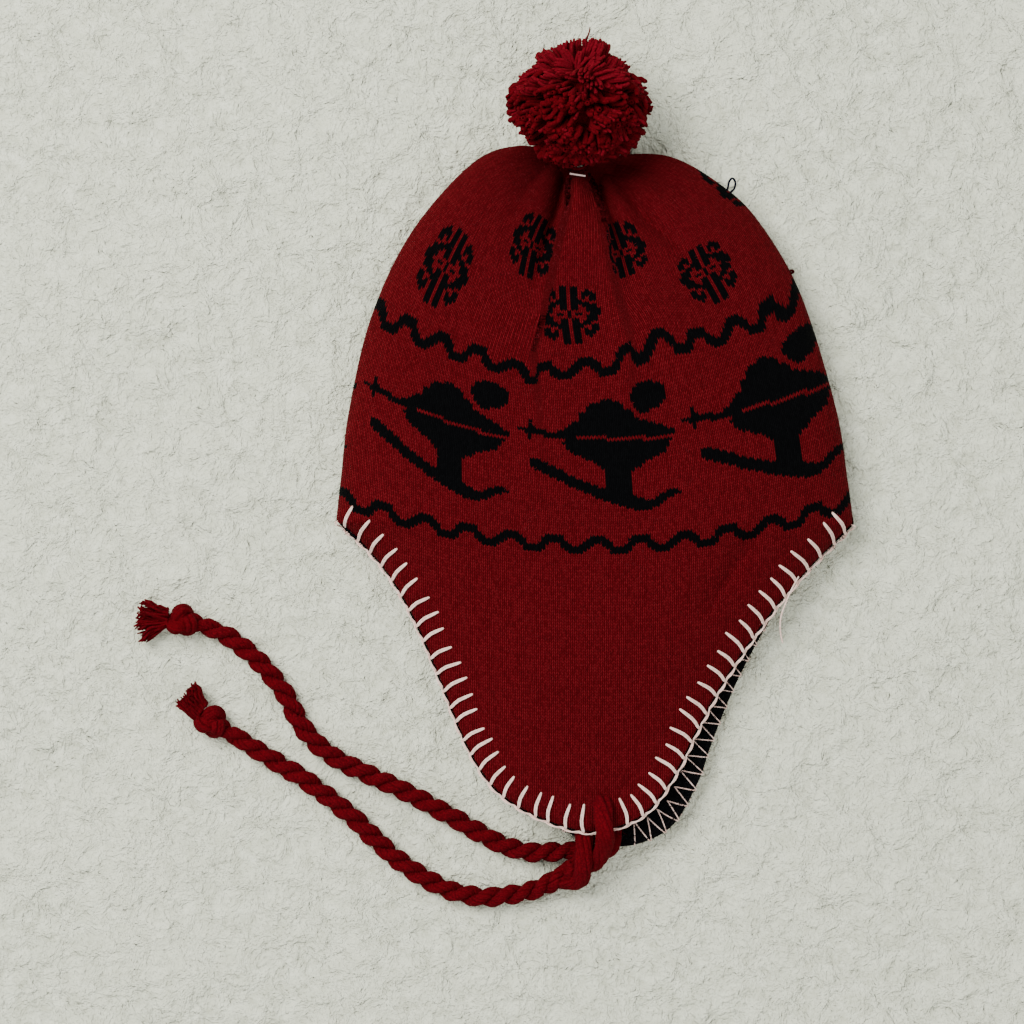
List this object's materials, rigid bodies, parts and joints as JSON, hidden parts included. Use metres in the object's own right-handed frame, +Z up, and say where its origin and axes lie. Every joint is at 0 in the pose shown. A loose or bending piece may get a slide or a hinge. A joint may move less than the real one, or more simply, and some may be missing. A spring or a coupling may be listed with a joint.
{
  "type": "knit earflap hat",
  "caption": "Knitted winter hat with a pompom, long earflaps, a fleece lining, blanket-stitched edge and twisted tie cords with knots and tassels, lying flat on its side.",
  "frame": {"origin": "bottom centre of the hat lying flat on its side, without its free cords", "axes": "+Z up from the table, +Y towards the pompom, +X to the right of a viewer looking down on the near flap"},
  "size_m": [0.3584, 0.4344, 0.067],
  "materials": {
    "red_knit": "machine knit with black motifs",
    "black_fleece": "brushed fleece",
    "crimson_yarn": "soft yarn",
    "pale_thread": "matt thread",
    "pale_plastic": "matt"
  },
  "bodies": {
    "crown": {"cap_knit_shell": "red_knit", "cap_lining": "black_fleece", "brim_stitching_left": "pale_thread", "brim_stitching_right": "pale_thread", "pompom_anchor_knot": "crimson_yarn", "gather_thread": "crimson_yarn", "tag_pin": "pale_plastic"},
    "near_flap": {"near_flap_knit": "red_knit", "near_flap_lining": "black_fleece", "near_flap_stitching": "pale_thread", "near_tie_loop": "crimson_yarn"},
    "far_flap": {"far_flap_knit": "red_knit", "far_flap_lining": "black_fleece", "far_flap_stitching": "pale_thread", "far_tie_loop": "crimson_yarn"},
    "near_tie": {"near_tie_cord": "crimson_yarn", "near_tie_knot": "crimson_yarn", "near_tie_tassel": "crimson_yarn"},
    "far_tie": {"far_tie_cord": "crimson_yarn", "far_tie_knot": "crimson_yarn", "far_tie_tassel": "crimson_yarn"},
    "pompom_stem": {"pompom_shank": "crimson_yarn"},
    "pompom": {"pompom": "crimson_yarn"}
  },
  "joints": [
    {"name": "near_flap_fold", "type": "hinge", "parent": "crown", "child": "near_flap", "pos_m": [0, -0.075, 0.034], "axis": [-1, 0, 0], "range_deg": [0, 150]},
    {"name": "far_flap_fold", "type": "hinge", "parent": "crown", "child": "far_flap", "pos_m": [0, -0.075, 0], "axis": [1, 0, 0], "range_deg": [0, 150]},
    {"name": "near_tie_swing", "type": "hinge", "parent": "near_flap", "child": "near_tie", "pos_m": [-0.014, -0.2153, 0.0105], "axis": [0, 0, 1], "range_deg": [0, 50]},
    {"name": "far_tie_lift", "type": "hinge", "parent": "far_flap", "child": "far_tie", "pos_m": [-0.012, -0.2048, 0.0103], "axis": [0, 1, 0], "range_deg": [0, 60]},
    {"name": "pompom_swing", "type": "hinge", "parent": "crown", "child": "pompom_stem", "pos_m": [-0.0089, 0.1366, 0.014], "axis": [0, 0, 1], "range_deg": [-12, 12]},
    {"name": "pompom_nod", "type": "hinge", "parent": "pompom_stem", "child": "pompom", "pos_m": [-0.0087, 0.1425, 0.0182], "axis": [1, 0, 0], "range_deg": [0, 25]}
  ]
}
